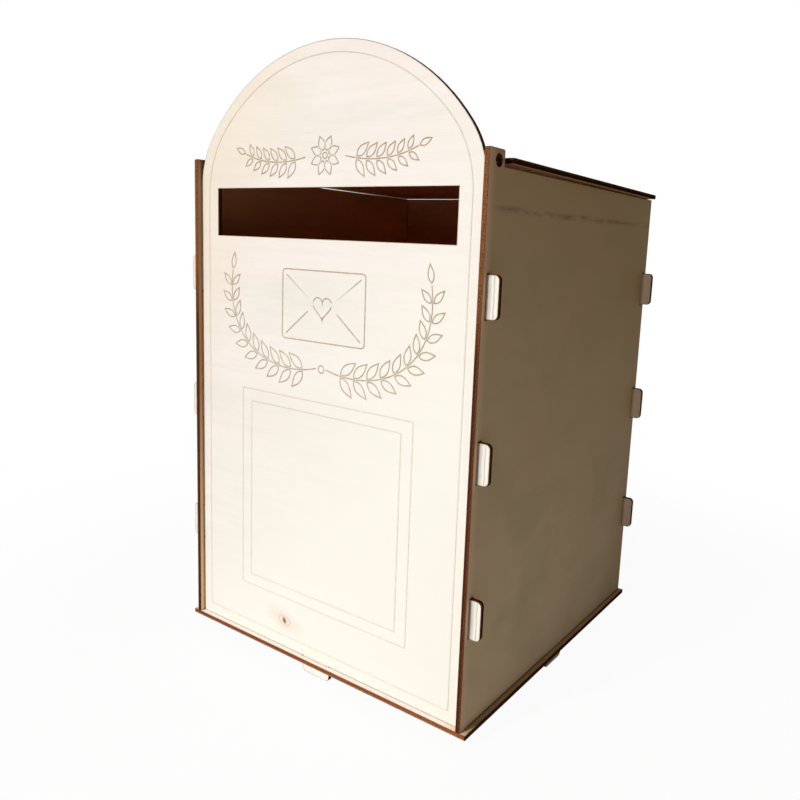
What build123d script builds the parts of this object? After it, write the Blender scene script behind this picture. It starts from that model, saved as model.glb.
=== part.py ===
from build123d import *
from math import atan, cos, hypot, radians, sin, sqrt, tan
import os

# A laser-cut plywood post box that slots together: base, four walls and a tilting lid.
# Millimetres. +Z is up, the letter slot faces -Y, and +X is to the right of someone facing it.
# The origin is midway between the walls, level with the ends of the bottom tabs it stands on.

# Driving sizes: the board, the square base and the walls
board = 2.5
base_size = 203.0
base_margin = 3.2
wall_height = 267.0

# Arch of the front panel: its ends above the walls' top, its rise, and its eased shoulders
arch_spring = 4.3
arch_rise = 57.2
shoulder_radius = 45.0

# Tabs and the slots that they are pushed through
tab_width = 20.0
tab_reach = 6.5
tab_corner = 2.5
first_tab = 58.0
last_tab = 57.0
tab_rows = 3
slot_clearance = 0.15

# Letter slot, in from the panel's edges and down from the walls' top
letter_margin = 14.3
letter_drop = 9.1
letter_height = 25.7

# Ears of the side walls: board left around the round hole that the lid turns in
pivot_hole = 5.6
pivot_rise = 2.2
ear_wall = 2.2
ear_corner = 1.0

# Lid: closed, its tongues hold its front higher above the walls than its back; open, it leans a
# little past upright on the arch
lid_overhang = 3.5
front_gap = 1.5
back_gap = 0.4
lid_lean = radians(0.7)
lean_clearance = 0.2
tongue_inset = 0.6
pivot_clearance = 0.15
neck_clearance = 0.3
front_clearance = 0.15
swing_clearance = 0.3

# Levels and planes that follow from them
base_top = tab_reach + board
wall_top = base_top + wall_height
spring_level = wall_top + arch_spring
crown = spring_level + arch_rise
outer_face = base_size / 2 - base_margin
inner_face = outer_face - board
mid_board = inner_face + board / 2
tab_end = outer_face + tab_reach
tab_pitch = (wall_height - first_tab - last_tab) / (tab_rows - 1)
tab_levels = [base_top + first_tab + tab_pitch * row for row in range(tab_rows)]

# Slots that take a tab or a board, with room all round
slot_length = tab_width + 2 * slot_clearance
slot_width = board + 2 * slot_clearance

# Pivot line, far enough behind the front panel for the open lid to lean over and clear the crown
pivot_z = wall_top + pivot_rise
lid_top = front_gap + board - pivot_rise
pivot_y = (lid_top + lean_clearance) / cos(lid_lean) + (crown - pivot_z) * tan(lid_lean) - inner_face

# Outline of an ear, and how far its eased back corner lies from the pivot line
ear_width = base_size / 2 + pivot_y + pivot_hole / 2 + ear_wall
ear_rise = pivot_rise + pivot_hole / 2 + ear_wall
corner_offset = pivot_hole / 2 + ear_wall - ear_corner
ear_reach = hypot(corner_offset, corner_offset) + ear_corner

# Edges of the lid, from the pivot line back: its shoulders pass behind the ears, its neck fits
# between them, and its front corners turn on a circle that is a clearance short of the front panel
lid_fall = atan((front_gap - back_gap) / (2 * inner_face))
edge_depth = max(pivot_rise - front_gap, lid_top)
lid_front = -sqrt((pivot_y + inner_face - front_clearance) ** 2 - edge_depth**2)
lid_shoulder = ear_reach + swing_clearance
lid_back = outer_face - pivot_y
lid_half_width = outer_face + lid_overhang
neck_half_width = inner_face - neck_clearance

# The tongues reach back to where their corners turn a clearance inside the pivot hole. Their front is
# in line with the lid's, unless that would put its corners outside the hole
tongue_end = outer_face - tongue_inset
tongue_back = sqrt((pivot_hole / 2 - pivot_clearance) ** 2 - edge_depth**2)
tongue_front = max(lid_front, -tongue_back)


def side_tabs():
    """Pairs of tabs: each pair is the two rounded ends of one bar across the board."""
    with Locations([(0, level) for level in tab_levels]):
        RectangleRounded(2 * tab_end, tab_width, tab_corner)


def bottom_tab():
    """One tab that goes down through the base, and that the box stands on."""
    with Locations((0, base_top)):
        RectangleRounded(tab_width, 2 * base_top, tab_corner)


# Base: a square board with a slot for the bottom tab of each wall
with BuildPart() as base:
    with BuildSketch(Plane.XY.offset(tab_reach)):
        Rectangle(base_size, base_size)
        with Locations((0, mid_board), (0, -mid_board)):
            Rectangle(slot_length, slot_width, mode=Mode.SUBTRACT)
        with Locations((mid_board, 0), (-mid_board, 0)):
            Rectangle(slot_width, slot_length, mode=Mode.SUBTRACT)
    extrude(amount=board)

# Front panel: a segmental arch with eased shoulders, its tabs and the letter slot
with BuildPart() as front_panel:
    with BuildSketch(Plane.XZ.offset(inner_face)):
        with BuildLine():
            arch = ThreePointArc((-inner_face, spring_level), (0, crown), (inner_face, spring_level))
            Polyline(arch @ 1, (inner_face, base_top), (-inner_face, base_top), arch @ 0)
        make_face()
        fillet(vertices().group_by(Axis.Y)[-1], shoulder_radius)
        side_tabs()
        bottom_tab()
        with Locations((0, wall_top - letter_drop - letter_height / 2)):
            Rectangle(2 * (inner_face - letter_margin), letter_height, mode=Mode.SUBTRACT)
    extrude(amount=board)

# Back panel: a plain board between the sides, up to the lid, with the same tabs
with BuildPart() as back_panel:
    with BuildSketch(Plane.XZ.offset(-outer_face)):
        with Locations((0, base_top + wall_height / 2)):
            Rectangle(2 * inner_face, wall_height)
        side_tabs()
        bottom_tab()
    extrude(amount=board)

# Right side: full depth, with an ear at its front top corner that carries the lid's pivot hole
with BuildPart() as right_side:
    with BuildSketch(Plane.YZ.offset(inner_face)):
        with Locations(((ear_width - base_size) / 2, wall_top)):
            Rectangle(ear_width, 2 * ear_rise)
        fillet(vertices().group_by(Axis.Y)[-1], ear_corner)
        with Locations((0, base_top + wall_height / 2)):
            Rectangle(base_size, wall_height)
        bottom_tab()
        with Locations([(y, level) for y in (-mid_board, mid_board) for level in tab_levels]):
            Rectangle(slot_width, slot_length, mode=Mode.SUBTRACT)
        with Locations((pivot_y, pivot_z)):
            Circle(pivot_hole / 2, mode=Mode.SUBTRACT)
    extrude(amount=board)

# Left side: the right side mirrored
with BuildPart() as left_side:
    mirror(right_side.part, about=Plane.YZ)

# Lid: wide behind the ears, narrower between them, with a tongue out to each pivot hole
lid_plane = Plane((0, pivot_y, pivot_z), x_dir=(1, 0, 0), z_dir=(0, sin(lid_fall), cos(lid_fall)))
with BuildPart() as lid:
    with BuildSketch(lid_plane.offset(front_gap - pivot_rise)):
        with Locations((0, (lid_shoulder + lid_back) / 2)):
            Rectangle(2 * lid_half_width, lid_back - lid_shoulder)
        with Locations((0, (lid_front + lid_shoulder) / 2)):
            Rectangle(2 * neck_half_width, lid_shoulder - lid_front)
        with Locations((0, (tongue_front + tongue_back) / 2)):
            Rectangle(2 * tongue_end, tongue_back - tongue_front)
    extrude(amount=board)

pieces = {
    "base": base,
    "front_panel": front_panel,
    "back_panel": back_panel,
    "left_side": left_side,
    "right_side": right_side,
    "lid": lid,
}

os.makedirs("parts", exist_ok=True)
for name, piece in pieces.items():
    piece.part.label = name
    export_step(piece.part, f"parts/{name}.step")
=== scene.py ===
import math
import bpy
import numpy as np
from mathutils import Matrix, Vector, geometry


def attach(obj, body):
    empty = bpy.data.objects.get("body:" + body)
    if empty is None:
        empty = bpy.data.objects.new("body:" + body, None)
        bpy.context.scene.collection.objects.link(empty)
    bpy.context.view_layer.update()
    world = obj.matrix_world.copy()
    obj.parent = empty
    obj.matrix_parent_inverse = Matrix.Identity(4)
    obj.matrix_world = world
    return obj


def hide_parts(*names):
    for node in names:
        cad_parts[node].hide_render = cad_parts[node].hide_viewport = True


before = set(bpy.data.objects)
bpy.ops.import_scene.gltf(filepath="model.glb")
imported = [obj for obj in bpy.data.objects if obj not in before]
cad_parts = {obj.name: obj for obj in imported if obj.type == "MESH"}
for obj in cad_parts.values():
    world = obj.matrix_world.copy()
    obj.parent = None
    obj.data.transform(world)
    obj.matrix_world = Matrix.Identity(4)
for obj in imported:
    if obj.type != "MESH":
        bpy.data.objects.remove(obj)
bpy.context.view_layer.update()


# Camera: held by hand to the right of the front, at about the lid's level, with a short lens. Its
# place, its turns and its framing were solved from the box's corners and its two measured sizes.
MM = 0.001
camera_place = Vector((269.25, -379.49, 239.39)) * MM
pan, tilt, roll = (math.radians(angle) for angle in (34.134, -9.130, 2.585))
camera = bpy.data.objects.new("camera", bpy.data.cameras.new("camera"))
camera.data.lens = 33.504
camera.data.shift_x = -0.05708
camera.data.shift_y = -0.03976
turns = [(pan, "Z"), (math.pi / 2 + tilt, "X"), (roll, "Z")]
camera.matrix_world = Matrix.Translation(camera_place)
for angle, axis in turns:
    camera.matrix_world = camera.matrix_world @ Matrix.Rotation(angle, 4, axis)
bpy.context.scene.collection.objects.link(camera)
bpy.context.scene.camera = camera


# Front panel: an arched board of birch plywood, cut out by a laser that also draws a border, a
# double frame and a leaf ornament on it as fine scorched grooves. Its tabs hold it in the sides.
def read_outline(node, across, up):
    """Outline of a board's outer face, read from its CAD node: of the flat triangles that face out,
    the edges that have no triangle on their other side. Gives its points in millimetres along
    across and up, its edges with the board on their left, how far out the face lies, and the
    board's thickness."""
    flatness, decimals = 0.01, 3
    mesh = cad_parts[node].data
    mesh.calc_loop_triangles()
    spots = np.empty(3 * len(mesh.vertices))
    mesh.vertices.foreach_get("co", spots)
    corners = np.empty(3 * len(mesh.loop_triangles), np.int32)
    mesh.loop_triangles.foreach_get("vertices", corners)
    spots = spots.reshape(-1, 3) @ np.stack([across, up, np.cross(across, up)], 1) / MM
    corners = corners.reshape(-1, 3)
    face = spots[:, 2].max()
    flat = corners[(spots[corners, 2] > face - flatness).all(1)]
    places, merged = np.unique(np.round(spots[:, :2], decimals), axis=0, return_inverse=True)
    flat = merged.ravel()[flat]
    edges = np.concatenate([flat[:, [0, 1]], flat[:, [1, 2]], flat[:, [2, 0]]])
    forth = edges[:, 0] * len(places) + edges[:, 1]
    back = edges[:, 1] * len(places) + edges[:, 0]
    used, rim = np.unique(edges[~np.isin(forth, back)], return_inverse=True)
    return places[used], rim.reshape(-1, 2), face, np.ptp(spots[:, 2])


def miters(points, edges):
    """The step at each point that moves its two edges to their right by one: the sum of the edges'
    unit normals, times two and divided by its own length squared, which is held to a least value
    where a line turns right back. An end counts its edge twice."""
    least = 0.1
    run = points[edges[:, 1]] - points[edges[:, 0]]
    normal = np.stack([run[:, 1], -run[:, 0]], 1) / np.hypot(*run.T)[:, None]
    total = np.zeros_like(points)
    np.add.at(total, edges.ravel(), np.repeat(normal, 2, axis=0))
    total *= (2 / np.bincount(edges.ravel(), minlength=len(points)))[:, None]
    return 2 * total / np.maximum((total**2).sum(1), least)[:, None]


def parallel(points, edges, shift):
    """A line beside another, shift to its left: each point moves along its miter. Points that come
    nearer to the first line than nearly all of the shift are left out, with their edges."""
    nearly_all = 0.93
    moved = points - shift * miters(points, edges)
    starts, run = points[edges[:, 0]], points[edges[:, 1]] - points[edges[:, 0]]
    share = ((moved[:, None] - starts) * run).sum(2) / (run**2).sum(1)
    nearest = starts + np.clip(share, 0, 1)[:, :, None] * run
    distance = np.sqrt(((moved[:, None] - nearest) ** 2).sum(2)).min(1)
    clear = distance > nearly_all * abs(shift)
    renumbered = np.cumsum(clear) - 1
    return moved[clear], renumbered[edges[clear[edges].all(1)]]


def fill(rim, rim_edges, rim_burn, curves):
    """Triangles that fill a rim and follow every edge of the curves inside it, each curve being
    points, edges, depth and burn. The rim has no depth. Gives the points with their depth and
    burn, the triangles whose middle is inside the rim, and the number that each of its points has."""
    merge_distance = 1e-6
    points, edges, depths, burns = [rim], [rim_edges], [np.zeros(len(rim))], [np.full(len(rim), rim_burn)]
    for more, joined, depth, burn in curves:
        edges.append(joined + sum(map(len, points)))
        points.append(more)
        depths.append(np.full(len(more), depth))
        burns.append(np.full(len(more), burn))
    corners = [Vector(point) for point in np.concatenate(points)]
    lines = np.concatenate(edges).tolist()
    made = geometry.delaunay_2d_cdt(corners, lines, [], 0, merge_distance, True)
    flat, triangles = np.array([tuple(point) for point in made[0]]), np.array(made[2])
    source = np.array([min(numbers, default=-1) for numbers in made[3]])
    depth = np.where(source < 0, 0, np.concatenate(depths)[source])
    burn = np.where(source < 0, 0, np.concatenate(burns)[source])
    middle = flat[triangles].mean(1)[:, None]
    low, high = rim[rim_edges[:, 0]], rim[rim_edges[:, 1]]
    spans = (low[:, 1] > middle[..., 1]) != (high[:, 1] > middle[..., 1])
    slope = (high - low)[:, 0] / np.where(high[:, 1] == low[:, 1], 1, (high - low)[:, 1])
    beyond = low[:, 0] + slope * (middle[..., 1] - low[:, 1]) > middle[..., 0]
    inside = (spans & beyond).sum(1) % 2 == 1
    number = np.empty(len(rim), int)
    on_rim = (source >= 0) & (source < len(rim))
    number[source[on_rim]] = np.flatnonzero(on_rim)
    return np.column_stack([flat, depth, burn]), triangles[inside], number


def cut_board(node, across, up, body, materials, grooves=()):
    """A laser-cut board as one closed mesh that replaces a CAD node. The cut edge is a profile
    carried round the outline, straight through the board with its two corners eased; the faces
    are triangles that follow the scorched rim, and on the outer face the grooves. The attribute
    burn is how scorched a point is, and ply how far through the board it is, from 0 to 1."""
    ease, sharp = 0.2, math.radians(25)
    # How scorched the rim is, then how far in from it the next lines are, and how scorched
    rim_burn, scorched = 0.5, [(0.25, 0.12), (0.7, 0.0)]
    outline, edges, face, thickness = read_outline(node, across, up)
    out = miters(outline, edges)
    turn = 1 - math.sqrt(0.5)
    insets = ease * np.array([1, turn, 0, 0, turn, 1])
    depths = np.array([0, turn * ease, ease, thickness - ease, thickness - turn * ease, thickness])
    rings = [outline - inset * out for inset in insets]
    scorch = [(*parallel(rings[0], edges, offset), 0, burn) for offset, burn in scorched]
    front, front_triangles, front_number = fill(rings[0], edges, rim_burn, [*scorch, *grooves])
    back, back_triangles, back_number = fill(rings[-1], edges, rim_burn, scorch)
    back[:, 2] = thickness
    walls = [
        np.column_stack([ring, np.full((len(ring), 2), (depth, 1))])
        for ring, depth in zip(rings[1:-1], depths[1:-1])
    ]
    everything = np.concatenate([front, *walls, back])
    first = len(front) + len(outline) * np.arange(len(walls) + 1)
    wall_numbers = [np.arange(len(outline)) + start for start in first[:-1]]
    numbers = [front_number, *wall_numbers, back_number + first[-1]]
    quads = [
        np.stack([upper[edges[:, 0]], lower[edges[:, 0]], lower[edges[:, 1]], upper[edges[:, 1]]], 1)
        for upper, lower in zip(numbers, numbers[1:])
    ]
    faces = [front_triangles, *quads, back_triangles[:, ::-1] + first[-1]]
    outer, inner, edge = 0, 1, 2
    kinds = [outer] + len(quads) * [edge] + [inner]
    slots = [np.full(len(part), kind) for part, kind in zip(faces, kinds)]

    axes = np.stack([across, up, np.cross(across, up)])
    spots = np.column_stack([everything[:, :2], face - everything[:, 2]]) @ axes * MM
    mesh = bpy.data.meshes.new(node + "_board")
    mesh.from_pydata(spots, [], [row for part in faces for row in part.tolist()])
    for name, values in (("burn", everything[:, 3]), ("ply", everything[:, 2] / thickness)):
        mesh.attributes.new(name, "FLOAT", "POINT").data.foreach_set("value", values)
    for material in materials:
        mesh.materials.append(material)
    mesh.polygons.foreach_set("material_index", np.concatenate(slots))
    mesh.polygons.foreach_set("use_smooth", np.ones(len(mesh.polygons), bool))
    mesh.set_sharp_from_angle(angle=sharp)
    board = bpy.data.objects.new(mesh.name, mesh)
    bpy.context.scene.collection.objects.link(board)
    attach(board, body)
    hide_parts(node)


def loop(count):
    """The edges that join that many points into a closed line."""
    return np.column_stack([np.arange(count), np.roll(np.arange(count), -1)])


def groove(points, width, depth, burn, closed=True):
    """The curves of one engraved line, for fill(): its middle at full depth, its two sides at the
    face, and outside them the faint rim that its smoke leaves. An open line's sides meet past its
    ends, as far out as they are beside it."""
    smoke_width = 0.25
    points = np.array(points, float)
    edges = loop(len(points)) if closed else loop(len(points))[:-1]
    curves = [(points, edges, depth, burn)]
    for reach, scorch in ((width / 2, burn), (width / 2 + smoke_width, 0)):
        if closed:
            curves += [(*parallel(points, edges, side * reach), 0, scorch) for side in (-1, 1)]
            continue
        longer = points.copy()
        for end, inner in ((0, 1), (-1, -2)):
            step = points[end] - points[inner]
            longer[end] += reach * step / np.hypot(*step)
        right, left = (parallel(longer, edges, side * reach)[0] for side in (-1, 1))
        around = np.concatenate([right, left[::-1]])
        curves.append((around, loop(len(around)), 0, scorch))
    return curves


def arc(centre, radius, start, end, count):
    """Points on a circle from the angle start to the angle end, in degrees."""
    angle = np.radians(np.linspace(start, end, count))
    return np.stack([centre[0] + radius * np.cos(angle), centre[1] + radius * np.sin(angle)], 1)


# The border: the panel's outline again, 6 to 7 mm further in and with rounder shoulders
border_side, border_foot, border_top = 88.97, 15.6, 331.2
border_radius, shoulder_radius, foot_radius = 102.5, 52.0, 0.6
corner_points, shoulder_points, arch_points = 5, 24, 72
arch_level = border_top - border_radius
shoulder_reach = border_radius - shoulder_radius
shoulder_x = border_side - shoulder_radius
shoulder_rise = math.sqrt(shoulder_reach**2 - shoulder_x**2)
shoulder_turn = math.degrees(math.atan2(shoulder_rise, shoulder_x))
shoulder_z = arch_level + shoulder_rise
foot_x, foot_z = border_side - foot_radius, border_foot + foot_radius
border = np.concatenate([
    arc((foot_x, foot_z), foot_radius, -90, 0, corner_points),
    arc((shoulder_x, shoulder_z), shoulder_radius, 0, shoulder_turn, shoulder_points)[:-1],
    arc((0, arch_level), border_radius, shoulder_turn, 180 - shoulder_turn, arch_points),
    arc((-shoulder_x, shoulder_z), shoulder_radius, 180 - shoulder_turn, 180, shoulder_points)[1:],
    arc((-foot_x, foot_z), foot_radius, 180, 270, corner_points),
])

# The double frame on the lower half: half the width, the foot and the top of each line
frame_middle = 0.5
frame_sizes = [(60.8, 38.8, 156.1), (53.6, 45.3, 149.3)]
rectangles = [
    [(frame_middle + x * half, z) for x, z in ((-1, low), (1, low), (1, high), (-1, high))]
    for half, low, high in frame_sizes
]


# The leaf ornament: two branches that sweep up round a sealed letter, and above the letter slot a
# row of leaves with a flower in its middle
def leaf(foot, angle, length, width):
    """Outline of a pointed leaf: half its width is a sine of a power of the way along, so that it
    is fullest before its middle."""
    side_points, fullness = 13, 0.8
    along = np.linspace(0, 1, side_points)
    half = width / 2 * np.sin(np.pi * along**fullness)
    outline = np.concatenate([
        np.stack([length * along, half], 1), np.stack([length * along, -half], 1)[-2:0:-1]
    ])
    turned = np.array([[np.cos(angle), np.sin(angle)], [-np.sin(angle), np.cos(angle)]])
    return outline[::-1] @ turned + foot


def bezier(ends, count):
    """Evenly spaced points on a cubic Bezier curve, and its direction there, read off between many
    finer steps along it."""
    fine_steps = 200
    a, b, c, d = np.array(ends, float)
    t = np.linspace(0, 1, fine_steps)[:, None]
    spots = a * (1 - t) ** 3 + 3 * b * t * (1 - t) ** 2 + 3 * c * t**2 * (1 - t) + d * t**3
    way = 3 * (b - a) * (1 - t) ** 2 + 6 * (c - b) * t * (1 - t) + 3 * (d - c) * t**2
    run = np.concatenate([[0], np.hypot(*np.diff(spots, axis=0).T).cumsum()])
    even = np.linspace(0, run[-1], count)
    even_spots = np.stack([np.interp(even, run, column) for column in spots.T], 1)
    return even_spots, np.interp(even, run, np.unwrap(np.arctan2(way[:, 1], way[:, 0])))


def mirrored(points):
    """The same outline on the other side of the panel's middle, run the same way round."""
    return np.array(points)[::-1] * (-1, 1)


def branch(ends, count, length, width, splay, gap):
    """A stem along a Bezier curve with pairs of leaves, smaller towards its tip, that spring from
    beside it at the angle splay, and a slighter leaf on its end."""
    stem_points, shrink, tip_length, tip_width = 40, 0.35, 0.7, 0.65
    stem, _ = bezier(ends, stem_points)
    feet, ways = bezier(ends, count + 2)
    leaves = []
    for index in range(1, count + 1):
        size = 1 - shrink * index / count
        for side in (-1, 1):
            angle = ways[index] + side * splay
            start = feet[index] + gap * np.array([math.cos(angle), math.sin(angle)])
            leaves.append(leaf(start, angle, size * length, size * width))
    tip = feet[-1] + gap * np.array([math.cos(ways[-1]), math.sin(ways[-1])])
    leaves.append(leaf(tip, ways[-1], tip_length * length, tip_width * width))
    return stem, leaves


def heart(centre, size):
    """A heart: x is the cube of a sine, z a sum of four cosines, together 32 wide."""
    t = np.linspace(0, 2 * np.pi, 37)[:-1]
    x = 16 * np.sin(t) ** 3
    z = 13 * np.cos(t) - 5 * np.cos(2 * t) - 2 * np.cos(3 * t) - np.cos(4 * t)
    return np.stack([x, z], 1)[::-1] * size / 32 + centre


letter_width, letter_height, letter_foot, letter_corner = 58.0, 37.0, 188.0, 2.0
letter_top = letter_foot + letter_height
corner_x = letter_width / 2 - letter_corner
corner_low, corner_high = letter_foot + letter_corner, letter_top - letter_corner
letter_corners = [
    (corner_x, corner_low, -90),
    (corner_x, corner_high, 0),
    (-corner_x, corner_high, 90),
    (-corner_x, corner_low, 180),
]
letter_outline = np.concatenate([
    arc((x, z), letter_corner, start, start + 90, corner_points) for x, z, start in letter_corners
])
seal, seal_size = (0, letter_foot + letter_height / 2), 13.0
fold_inset, flap_end, fold_end = 3.0, (-6.5, seal[1] + 1.5), (-10.5, seal[1] - 3.0)
fold_x = fold_inset - letter_width / 2
flap = [(fold_x, letter_top - fold_inset), flap_end]
fold = [(fold_x, letter_foot + fold_inset), fold_end]

# The control points of the two stems, from the middle of the panel outwards
sweep = [(-4, 174), (-34, 166), (-76, 178), (-69, 222)]
row = [(-14, 282), (-28, 279), (-44, 279), (-58, 285)]
sweep_stem, sweep_leaves = branch(sweep, count=10, length=12.5, width=5.2, splay=0.75, gap=1.3)
row_stem, row_leaves = branch(row, count=6, length=10.0, width=4.4, splay=0.85, gap=1.2)

flower, bud = np.array([0.0, 282.5]), np.array([0.0, 174.0])
eye_radius, bud_radius, circle_points = 1.5, 2.0, 24
last_turn = 360 - 360 / circle_points
petal_count, petal_foot, petal_length, petal_width = 8, 2.8, 7.2, 4.3
petal_turn = 2 * math.pi / petal_count
petals = [
    leaf(flower + petal_foot * np.array([math.cos(way), math.sin(way)]), way, petal_length, petal_width)
    for way in np.arange(petal_count) * petal_turn + petal_turn / 2
]
flower_eye = arc(flower, eye_radius, 0, last_turn, circle_points)
bud_outline = arc(bud, bud_radius, 0, last_turn, circle_points)
closed_lines = [letter_outline, heart(seal, seal_size), flower_eye, bud_outline, *petals]
closed_lines += sweep_leaves + row_leaves + [mirrored(line) for line in sweep_leaves + row_leaves]
open_lines = [sweep_stem, row_stem, flap, fold]
open_lines += [mirrored(line) for line in open_lines]

# The two kinds of engraved line: how wide and how deep each is, in millimetres, and how scorched
fine, bold = (0.42, 0.18, 0.28), (0.46, 0.26, 0.62)
grooves = [curve for line in (border, *rectangles) for curve in groove(line, *fine)]
grooves += [curve for line in closed_lines for curve in groove(line, *bold)]
grooves += [curve for line in open_lines for curve in groove(line, *bold, closed=False)]


def linear(code):
    """The linear colour of an sRGB hex code."""
    srgb = np.array([int(code[i : i + 2], 16) for i in (1, 3, 5)]) / 255
    return (*np.where(srgb <= 0.04045, srgb / 12.92, ((srgb + 0.055) / 1.055) ** 2.4), 1)


def add(tree, kind, links=None, **settings):
    """Adds a node. settings are its properties; links are its inputs by name or place, each given a
    value, a socket, or a node whose first output in use is taken."""
    node = tree.nodes.new("ShaderNode" + kind)
    for name, value in settings.items():
        setattr(node, name, value)
    for name, value in (links or {}).items():
        sockets = [socket for socket in node.inputs if socket.enabled]
        socket = sockets[name] if isinstance(name, int) else next(s for s in sockets if s.name == name)
        if isinstance(value, bpy.types.Node):
            value = next(output for output in value.outputs if output.enabled)
        if isinstance(value, bpy.types.NodeSocket):
            tree.links.new(value, socket)
        else:
            socket.default_value = value
    return node


def in_grain(place, grain, along, across, shift):
    """Inputs of a Mapping node that counts object coordinates in a pattern's own sizes, given in
    millimetres: along the grain's axis and across it. shift moves the pattern to another part of
    the wood."""
    scale = [1 / MM / across] * 3
    scale[grain] = 1 / MM / along
    return {"Vector": place, "Location": (shift, shift, shift), "Scale": scale}


def veneer(name, grain, pale, warm, cool, scorched, figure, flake, streaks, marks=None):
    """Rotary-cut birch veneer, sanded and left bare: soft broad figure along the grain in a warm
    and a cool tone, thin streaks, short pores drawn coarser than real ones so that they show, and
    brown smoke where the laser passed. marks gives the stains over it, each with its share."""
    streak, pore, smoke_size = (85, 5.5), (9, 0.45), 2.222
    material = bpy.data.materials.new(name)
    material.use_nodes = True
    tree = material.node_tree
    tree.nodes.clear()
    place = add(tree, "TexCoord").outputs["Object"]
    colour = linear(pale)
    # Size along and across the grain, shift, detail and waver of each pattern, then the values of
    # it at which its colour starts and is full, how strong that is, and the colour
    for size, shift, detail, waver, starts, full, most, code in (
        (flake, 0.0, 3.0, 0.35, 0.42, 0.72, figure, warm),
        (flake, 7.3, 4.0, 0.5, 0.48, 0.75, figure, cool),
        (streak, 3.1, 4.0, 0.6, 0.45, 0.75, streaks, cool),
        (pore, 5.7, 2.0, 0.0, 0.6, 0.8, 0.12, scorched),
    ):
        wood = add(tree, "Mapping", in_grain(place, grain, *size, shift))
        pattern = add(tree, "TexNoise", {"Vector": wood, "Scale": 1.0, "Detail": detail, "Distortion": waver})
        share = add(tree, "MapRange", {
            "Value": pattern, "From Min": starts, "From Max": full, "To Max": most
        })
        colour = add(tree, "Mix", {"Factor": share, "A": colour, "B": linear(code)}, data_type="RGBA")
    # The last pattern, the pores, is a slight relief as well
    relief = add(tree, "Bump", {"Height": pattern, "Strength": 0.25, "Distance": 0.05 * MM})
    for share, stain in marks(tree, place) if marks else ():
        colour = add(tree, "Mix", {"Factor": share, "A": colour, "B": stain}, data_type="RGBA")
    burn = add(tree, "Attribute", attribute_name="burn").outputs["Fac"]
    smoke = add(tree, "TexNoise", {"Vector": place, "Scale": 1 / MM / smoke_size, "Detail": 2.0})
    uneven = add(tree, "MapRange", {
        "Value": smoke, "From Min": 0.3, "From Max": 0.7, "To Min": 0.75, "To Max": 1.15
    })
    burnt = add(tree, "Math", {0: burn, 1: uneven}, operation="MULTIPLY", use_clamp=True)
    colour = add(tree, "Mix", {"Factor": burnt, "A": colour, "B": linear(scorched)}, data_type="RGBA")
    surface = {"Base Color": colour, "Roughness": 0.65, "Specular IOR Level": 0.1, "Normal": relief}
    add(tree, "OutputMaterial", {"Surface": add(tree, "BsdfPrincipled", surface)})
    return material


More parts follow.
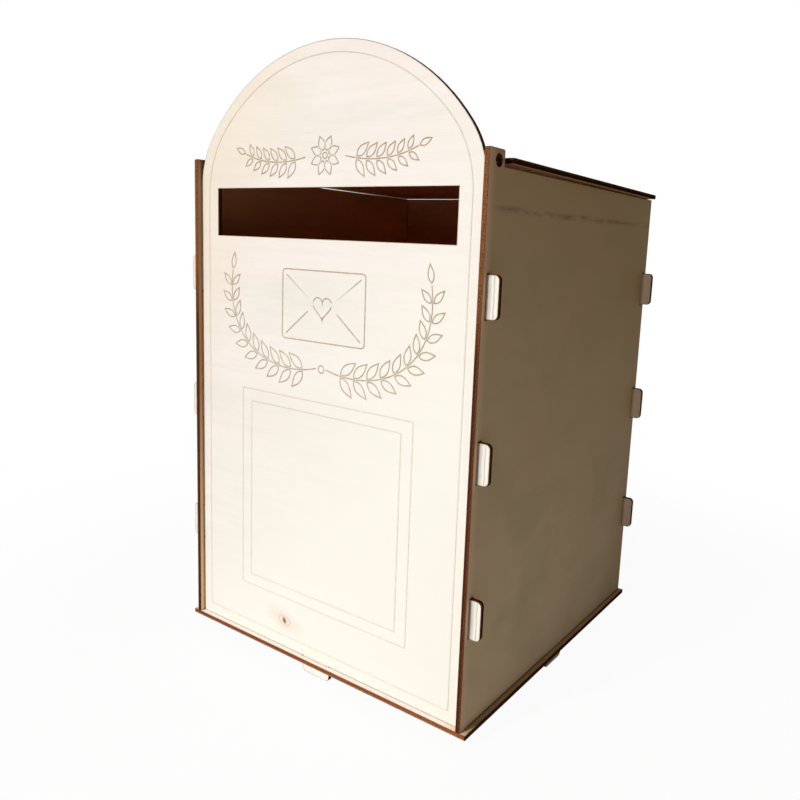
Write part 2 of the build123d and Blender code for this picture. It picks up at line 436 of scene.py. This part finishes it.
def front_marks(tree, place):
    """Painted shade makes the sheet browner at its upper left, and painted light makes it paler and
    yellower towards its lower right. Near its foot it has one small knot: a brown heart, a thin ring round
    it, and a pinkish flush along the grain. The tabs are painted grey at their roots as the shadow that the
    sides cast on them, which thins out and ends in a faint grey line across them."""
    x, _, z = add(tree, "SeparateXYZ", {0: place}).outputs
    # Painted shade towards the upper left and painted light towards the lower right, spread along slanted
    # lines
    steep = add(tree, "Math", {0: x, 1: -2.0, 2: z}, operation="MULTIPLY_ADD")
    brown = add(tree, "MapRange", {"Value": steep, "From Min": 320 * MM, "From Max": 440 * MM, "To Max": 0.6})
    slanted = add(tree, "Math", {0: x, 1: -1.0, 2: z}, operation="MULTIPLY_ADD")
    painted_lower_light = add(tree, "MapRange", {"Value": slanted, "From Min": 240 * MM, "From Max": 70 * MM, "To Max": 0.9})

    # The knot: its place, and the half width, half height and lean of its three ovals
    knot, wobble_size, unevenness = (-25.1 * MM, 0, 24.95 * MM), 4.545, 0.3
    flush_oval, ring_oval, heart_oval = (19.0, 8.0, 14.0), (4.3, 2.8, 0.0), (1.25, 1.75, -28.0)
    wobble = add(tree, "TexNoise", {"Vector": place, "Scale": 1 / MM / wobble_size, "Detail": 3.0})

    def outwards(wide, high, lean):
        """How far out in an oval round the knot a point is: 1 on its rim, a little unevenly."""
        scale, turn = (wide * MM, 1, high * MM), (0, math.radians(lean), 0)
        around = {"Vector": place, "Location": knot, "Rotation": turn, "Scale": scale}
        spot = add(tree, "Mapping", around, vector_type="TEXTURE")
        reach = add(tree, "VectorMath", {0: spot}, operation="LENGTH").outputs["Value"]
        return add(tree, "Math", {0: wobble, 1: unevenness, 2: reach}, operation="MULTIPLY_ADD")

    flush = outwards(*flush_oval)
    flush = add(tree, "MapRange", {"Value": flush, "From Min": 1.15, "From Max": 0.3, "To Max": 0.5})
    ring = add(tree, "Math", {0: outwards(*ring_oval), 1: 1.15}, operation="SUBTRACT")
    ring = add(tree, "Math", {0: ring}, operation="ABSOLUTE")
    ring = add(tree, "MapRange", {"Value": ring, "From Min": 0.24, "From Max": 0.04, "To Max": 0.4})
    heartwood = outwards(*heart_oval)
    heartwood = add(tree, "MapRange", {"Value": heartwood, "From Min": 1.55, "From Max": 0.75})

    # The tabs' painted shadow, cast on them by the sides, sets in at their roots, thins out again, and ends
    # in a line further on
    ragged, line_place = 1.2, 103.0
    out = add(tree, "Math", {0: x}, operation="ABSOLUTE")
    out = add(tree, "Math", {0: wobble, 1: ragged * MM, 2: out}, operation="MULTIPLY_ADD")
    root = add(tree, "MapRange", {"Value": out, "From Min": 96.0 * MM, "From Max": 98.0 * MM, "To Max": 0.85})
    thin = add(tree, "MapRange", {"Value": out, "From Min": 102.2 * MM, "From Max": 98.9 * MM})
    painted_shadow = add(tree, "Math", {0: root, 1: thin}, operation="MULTIPLY")
    line = add(tree, "Math", {0: out, 1: line_place * MM}, operation="SUBTRACT")
    line = add(tree, "Math", {0: line}, operation="ABSOLUTE")
    line = add(tree, "MapRange", {"Value": line, "From Min": 0.5 * MM, "From Max": 0.1 * MM, "To Max": 0.45})
    painted_shadow = add(tree, "Math", {0: painted_shadow, 1: line}, operation="MAXIMUM")
    return [
        (brown, linear("#EEDFC8")),
        (painted_lower_light, linear("#FFFBF0")),
        (flush, linear("#F2D8C6")),
        (ring, linear("#D8C2A0")),
        (heartwood, linear("#946C40")),
        (painted_shadow, linear("#8A7C72")),
    ]


def outside_colours_with_painted_shade(axis, foot, top, low, high):
    """Marks of a sheet's inner face: in the box it keeps its orange brown, partly the smoke of its cutting
    and partly painted shade, and what shows outside, past the walls on that axis or above them, takes other
    colours: one colour below the level low, another above the level high. Beside the walls it is darkened
    with painted shade."""

    def marks(tree, place):
        spot = add(tree, "SeparateXYZ", {0: place})
        z = spot.outputs["Z"]
        out = add(tree, "Math", {0: spot.outputs[axis]}, operation="ABSOLUTE")
        past = add(tree, "MapRange", {"Value": out, "From Min": 95.0 * MM, "From Max": 98.0 * MM})
        above = add(tree, "MapRange", {"Value": z, "From Min": 279.0 * MM, "From Max": 281.0 * MM})
        bare = add(tree, "Math", {0: past, 1: above}, operation="MAXIMUM")
        rise = add(tree, "MapRange", {"Value": z, "From Min": low * MM, "From Max": high * MM})
        outside_colour = add(tree, "Mix", {"Factor": rise, "A": linear(foot), "B": linear(top)}, data_type="RGBA")
        # Painted shade where the face meets the walls
        beside = add(tree, "MapRange", {
            "Value": out, "From Min": 100.0 * MM, "From Max": 98.5 * MM, "To Max": 0.6
        })
        dark = linear("#7A5C40")
        outside_colour = add(tree, "Mix", {"Factor": beside, "A": outside_colour, "B": dark}, data_type="RGBA")
        return [(bare, outside_colour)]

    return marks


def cut_edge(name, light, dark, char, marks=None):
    """The laser-cut edge of three-ply birch, with its plies burnt to one dull brown: lighter where
    the beam entered the board, darker in patches and where it left, and specked with char."""
    speck_size, patch_size = 0.7143, 16.67
    material = bpy.data.materials.new(name)
    material.use_nodes = True
    tree = material.node_tree
    tree.nodes.clear()
    place = add(tree, "TexCoord").outputs["Object"]
    ply = add(tree, "Attribute", attribute_name="ply").outputs["Fac"]
    speck = add(tree, "TexNoise", {
        "Vector": place, "Scale": 1 / MM / speck_size, "Detail": 3.0, "Roughness": 0.6
    })
    patch = add(tree, "TexNoise", {"Vector": place, "Scale": 1 / MM / patch_size, "Detail": 3.0})
    depth = add(tree, "MapRange", {"Value": ply, "From Min": 0.25, "From Max": 0.6})
    depth = add(tree, "Math", {0: patch, 1: 0.9, 2: depth}, operation="MULTIPLY_ADD")
    burnt = add(tree, "MapRange", {"Value": depth, "From Min": 0.3, "From Max": 1.2})
    specks = add(tree, "MapRange", {"Value": speck, "From Min": 0.45, "From Max": 0.62, "To Max": 0.8})
    colour = add(tree, "Mix", {"Factor": burnt, "A": linear(light), "B": linear(dark)}, data_type="RGBA")
    for share, stain in marks(tree, place) if marks else ():
        colour = add(tree, "Mix", {"Factor": share, "A": colour, "B": stain}, data_type="RGBA")
    colour = add(tree, "Mix", {"Factor": specks, "A": colour, "B": linear(char)}, data_type="RGBA")
    relief = add(tree, "Bump", {"Height": speck, "Strength": 0.4, "Distance": 0.1 * MM})
    surface = {"Base Color": colour, "Roughness": 0.9, "Specular IOR Level": 0.0, "Normal": relief}
    add(tree, "OutputMaterial", {"Surface": add(tree, "BsdfPrincipled", surface)})
    return material


# Outside, a chalky white face with hardly any figure. Inside, an orange brown that is partly the smoke the
# cut left on the bare wood and partly painted shade. Round the edge, dark brown with specks of char.
side_to_side, front_to_back = 0, 1
front_veneer = veneer(
    "bare_birch_veneer_pale", side_to_side, "#F8F0E8", "#F8E8E0", "#E8E3D6", "#9C783C",
    figure=0.55, flake=(90, 34), streaks=0.42, marks=front_marks,
)
inner_veneer = veneer(
    "bare_birch_veneer_inside", side_to_side, "#F6B07A", "#EEA670", "#D69E68", "#5A3A22",
    figure=0.7, flake=(120, 30), streaks=0.3, marks=outside_colours_with_painted_shade("X", "#D8C2AC", "#9A7650", 250, 270),
)
burnt_edge = cut_edge("laser_burnt_birch_ply_edge", "#7A482C", "#46200F", "#1E0C05")
along_x, along_y, upwards = (1, 0, 0), (0, 1, 0), (0, 0, 1)
cut_board(
    "front_panel", along_x, upwards, "box", [front_veneer, inner_veneer, burnt_edge], grooves
)


# Back panel: a plain rectangle of the same plywood between the sides, held by the same tabs as the
# front panel. Its sheet is tan, with broad soft figure, and the closed lid rests on its top edge.
back_veneer = veneer(
    "bare_birch_veneer_back", side_to_side, "#C2A47E", "#BE9478", "#AA946E", "#6A4428",
    figure=0.9, flake=(90, 38), streaks=0.3,
)
cut_board("back_panel", (-1, 0, 0), upwards, "box", [back_veneer, inner_veneer, burnt_edge])


# Sides: two mirrored boards of the same plywood, the full depth of the base, that the tabs of the
# front and back are pushed through. Each has an ear with the round hole that the lid turns in.
def side_marks(tree, place):
    """A sound, plain sheet, with painted shade that darkens it towards its top and its back, paler along its
    front edge, with one thin mineral streak near its top, broken up along the grain."""
    _, y, z = add(tree, "SeparateXYZ", {0: place}).outputs
    paler_front = add(tree, "MapRange", {
        "Value": y, "From Min": -95.0 * MM, "From Max": -101.5 * MM, "To Max": 0.7
    })
    # Painted shade towards the top and the back of the side
    rise = add(tree, "Math", {0: y, 1: 0.6, 2: z}, operation="MULTIPLY_ADD")
    rise = add(tree, "MapRange", {"Value": rise, "From Min": -50 * MM, "From Max": 290 * MM, "To Max": 0.9})
    behind = add(tree, "MapRange", {"Value": y, "From Min": 30 * MM, "From Max": 100 * MM, "To Max": 0.7})
    painted_shade = add(tree, "Math", {0: rise, 1: behind}, operation="MAXIMUM")

    streak_middle, streak_slope, wander_size, wander_reach, fleck = 257.2, 0.0092, 40.0, 2.5, (14, 3)
    wander = add(tree, "TexNoise", {"Vector": place, "Scale": 1 / MM / wander_size, "Detail": 3.0})
    level = add(tree, "Math", {0: y, 1: streak_slope, 2: streak_middle * MM}, operation="MULTIPLY_ADD")
    level = add(tree, "Math", {0: wander, 1: wander_reach * MM, 2: level}, operation="MULTIPLY_ADD")
    off = add(tree, "Math", {0: z, 1: level}, operation="SUBTRACT")
    off = add(tree, "Math", {0: off}, operation="ABSOLUTE")
    streak = add(tree, "MapRange", {"Value": off, "From Min": 2.4 * MM, "From Max": 0.2 * MM, "To Max": 0.7})
    wood = add(tree, "Mapping", in_grain(place, front_to_back, *fleck, 2.0))
    flecks = add(tree, "TexNoise", {"Vector": wood, "Scale": 1.0, "Detail": 5.0, "Roughness": 0.7})
    flecks = add(tree, "MapRange", {"Value": flecks, "From Min": 0.4, "From Max": 0.62})
    streak = add(tree, "Math", {0: streak, 1: flecks}, operation="MULTIPLY")
    starts = add(tree, "MapRange", {"Value": y, "From Min": -96.0 * MM, "From Max": -88.0 * MM})
    streak = add(tree, "Math", {0: streak, 1: starts}, operation="MULTIPLY")
    return [(painted_shade, linear("#90754E")), (paler_front, linear("#D0A88A")), (streak, linear("#66462C"))]


def inside_marks(tree, place):
    """The inner face is darkened towards the front with painted shade. Where it stands past the front and
    back panels it is paler near its foot and browner higher up, as painted light from below, with painted
    shade next to the panels."""
    y = add(tree, "SeparateXYZ", {0: place}).outputs["Y"]
    # Painted shade towards the front of the inner face
    smoke = add(tree, "MapRange", {"Value": y, "From Min": 60 * MM, "From Max": -80 * MM, "To Max": 0.75})
    return [(smoke, linear("#94643E")), *outside_colours_with_painted_shade("Y", "#F0CCA0", "#AA7E56", 30, 160)(tree, place)]


def side_edge_marks(tree, place):
    """The front edge is toasted lighter towards its top. The top edge, behind the ear, is painted nearly
    black as the shade in the gap under the lid.
    """
    _, y, z = add(tree, "SeparateXYZ", {0: place}).outputs
    front = add(tree, "MapRange", {"Value": y, "From Min": -99.0 * MM, "From Max": -101.0 * MM})
    upper = add(tree, "MapRange", {"Value": z, "From Min": 190 * MM, "From Max": 225 * MM, "To Max": 0.85})
    lighter = add(tree, "Math", {0: front, 1: upper}, operation="MULTIPLY")
    # Painted shade on the top edge behind the ear, in the gap under the lid
    behind = add(tree, "MapRange", {"Value": y, "From Min": -86.0 * MM, "From Max": -83.0 * MM})
    top = add(tree, "MapRange", {"Value": z, "From Min": 275.3 * MM, "From Max": 275.8 * MM, "To Max": 0.85})
    charred = add(tree, "Math", {0: behind, 1: top}, operation="MULTIPLY")
    return [(lighter, linear("#9A643E")), (charred, linear("#241006"))]


# Outside, a plain tan sheet, darker than the front's partly as painted shade. Inside, a brighter brown than
# the other boards have, its warm tone partly painted shade. Round the edge, brown that is toasted more than
# charred.
side_veneer = veneer(
    "bare_birch_veneer_tan", front_to_back, "#BEA98A", "#B8A082", "#A89A7A", "#6A4428",
    figure=0.9, flake=(50, 38), streaks=0.12, marks=side_marks,
)
side_inner = veneer(
    "bare_birch_veneer_inside_side", front_to_back, "#FFBC86", "#F8B07A", "#E0AA74", "#5A3A22",
    figure=0.7, flake=(120, 30), streaks=0.3, marks=inside_marks,
)
toasted_edge = cut_edge("laser_toasted_birch_ply_edge", "#764C34", "#582E1A", "#301509", side_edge_marks)
for side, along in (("right_side", along_y), ("left_side", (0, -1, 0))):
    cut_board(side, along, upwards, "box", [side_veneer, side_inner, toasted_edge])


# Base: a square board of the same plywood that the four walls stand on, with a slot for the bottom
# tab of each. Its top is pale where the walls leave it bare, and darkened with painted shade beside the right
# side.
def base_marks(tree, place):
    """The strip outside the right side is painted browner as the side's shadow on it, and darkest along the
    side's foot as painted shade where the boards meet. Its front end is only tinted tan, as is the end of the
    strip before the front panel."""
    x, y, _ = add(tree, "SeparateXYZ", {0: place}).outputs
    corner = add(tree, "MapRange", {"Value": x, "From Min": 84.0 * MM, "From Max": 100.0 * MM, "To Max": 0.7})
    # Painted shadow of the right side on the strip beside it
    beside = add(tree, "MapRange", {"Value": x, "From Min": 96.0 * MM, "From Max": 98.5 * MM, "To Max": 0.85})
    behind = add(tree, "MapRange", {"Value": y, "From Min": -101.3 * MM, "From Max": -97.0 * MM})
    browned = add(tree, "Math", {0: beside, 1: behind}, operation="MULTIPLY")
    # Painted shade along the side's foot, where it meets the base
    foot = add(tree, "MapRange", {"Value": x, "From Min": 99.4 * MM, "From Max": 98.5 * MM, "To Max": 0.7})
    behind = add(tree, "MapRange", {"Value": y, "From Min": -97.0 * MM, "From Max": -93.0 * MM})
    painted_shadow = add(tree, "Math", {0: foot, 1: behind}, operation="MULTIPLY")
    return [(corner, linear("#E8CCA0")), (browned, linear("#B89468")), (painted_shadow, linear("#4E3818"))]


def base_edge_marks(tree, place):
    """The front edge gets paler and yellower towards the right, with its lowest ply the palest. The
    right edge, which faces away from the key light, is painted nearly black as shade."""
    x, _, z = add(tree, "SeparateXYZ", {0: place}).outputs
    paler = add(tree, "MapRange", {"Value": x, "From Min": -60 * MM, "From Max": 90 * MM, "To Max": 0.4})
    lowest = add(tree, "MapRange", {"Value": z, "From Min": 7.7 * MM, "From Max": 7.2 * MM, "To Max": 0.5})
    # Painted shade on the base's right edge
    charred = add(tree, "MapRange", {
        "Value": x, "From Min": 100.8 * MM, "From Max": 101.3 * MM, "To Max": 0.92
    })
    return [(paler, linear("#B4743C")), (lowest, linear("#D8A684")), (charred, linear("#321C0E"))]


base_veneer = veneer(
    "bare_birch_veneer_base", side_to_side, "#FEF6EC", "#FCECE0", "#F0E6D8", "#8A6A48",
    figure=0.6, flake=(120, 30), streaks=0.4, marks=base_marks,
)
base_edge = cut_edge("laser_browned_birch_ply_edge", "#A8643E", "#80462A", "#46200F", base_edge_marks)
cut_board("base", along_x, along_y, "box", [base_veneer, back_veneer, base_edge])


# Lid: a flat board of the same plywood. Two tongues of it turn in the ears' holes, and closed it
# slopes down a little to the back panel, where it rests; its slope is read from its CAD faces. Its
# cut edge is charred nearly black.
charred_edge = cut_edge("laser_charred_birch_ply_edge", "#603820", "#32190D", "#120804")
lid_top = max(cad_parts["lid"].data.polygons, key=lambda polygon: polygon.normal.z * polygon.area)
down_slope = np.cross(lid_top.normal, along_x)
cut_board("lid", along_x, down_slope, "lid", [back_veneer, inner_veneer, charred_edge])


# Studio: a floor of matt white paint, shown almost white under the box and pure white further out,
# a small key light from the front left, a weak fill from all round, and a little warm light that
# comes low from the right.
def shown(tree):
    """1 for the rays that show the studio itself, straight, mirrored or through glass, and 0 for
    the rays that light the box."""
    rays = add(tree, "LightPath").outputs
    seen = add(tree, "Math", {0: rays["Is Camera Ray"], 1: rays["Is Glossy Ray"]}, operation="MAXIMUM")
    return add(tree, "Math", {0: seen, 1: rays["Is Transmission Ray"]}, operation="MAXIMUM")


# Half the floor's width and where its white starts to rise and is full, in metres, and how much of
# what shows is white before that
floor_half, rise_from, rise_to, least_white = 6.0, 0.15, 0.5, 0.95
white = (1, 1, 1, 1)
floor_paint = bpy.data.materials.new("matt_white_floor_paint")
floor_paint.use_nodes = True
tree = floor_paint.node_tree
tree.nodes.clear()
reach = add(tree, "VectorMath", {0: add(tree, "TexCoord").outputs["Object"]}, operation="LENGTH")
rise = {"Value": reach.outputs["Value"], "From Min": rise_from, "From Max": rise_to, "To Min": least_white}
whiter = add(tree, "MapRange", rise, interpolation_type="SMOOTHSTEP")
share = add(tree, "Math", {0: shown(tree), 1: whiter}, operation="MULTIPLY")
matt = add(tree, "BsdfDiffuse", {"Color": linear("#EEEDEB")})
glow = add(tree, "Emission", {"Color": white, "Strength": 1.0})
add(tree, "OutputMaterial", {"Surface": add(tree, "MixShader", {0: share, 1: matt, 2: glow})})
floor_mesh = bpy.data.meshes.new("floor")
floor_corners = [(x * floor_half, y * floor_half, 0) for x, y in ((-1, -1), (1, -1), (1, 1), (-1, 1))]
floor_mesh.from_pydata(floor_corners, [], [(0, 1, 2, 3)])
floor_mesh.materials.append(floor_paint)
floor = bpy.data.objects.new("floor", floor_mesh)
bpy.context.scene.collection.objects.link(floor)

world = bpy.data.worlds.new("studio")
bpy.context.scene.world = world
world.use_nodes = True
tree = world.node_tree
tree.nodes.clear()
weak = add(tree, "Background", {"Color": white, "Strength": 0.1})
full = add(tree, "Background", {"Color": white, "Strength": 1.0})
add(tree, "OutputWorld", {"Surface": add(tree, "MixShader", {0: shown(tree), 1: weak, 2: full})})


def lamp(name, place, aim, size, energy, colour):
    """A square area light at one place, turned to shine at another, and not seen itself."""
    light = bpy.data.objects.new(name, bpy.data.lights.new(name, "AREA"))
    light.data.size = size
    light.data.energy = energy
    light.data.color = linear(colour)[:3]
    light.visible_camera = False
    turn = (place - aim).to_track_quat("Z", "Y").to_matrix().to_4x4()
    light.matrix_world = Matrix.Translation(place) @ turn
    bpy.context.scene.collection.objects.link(light)


box_middle = Vector((0, 0, 0.16))
key_turn, key_rise, key_distance = math.radians(16), math.radians(34), 5.0
level_reach = math.cos(key_rise)
key_way = Vector((-math.sin(key_turn) * level_reach, -math.cos(key_turn) * level_reach, math.sin(key_rise)))
lamp("key", box_middle + key_distance * key_way, box_middle, size=0.6, energy=196, colour="#FFFFFF")
card_place, card_aim = Vector((0.62, -0.2, 0.05)), Vector((0.1, -0.06, 0.06))
lamp("card", card_place, card_aim, size=0.3, energy=0.45, colour="#FFF0DC")
bpy.context.scene.view_settings.view_transform = "Standard"
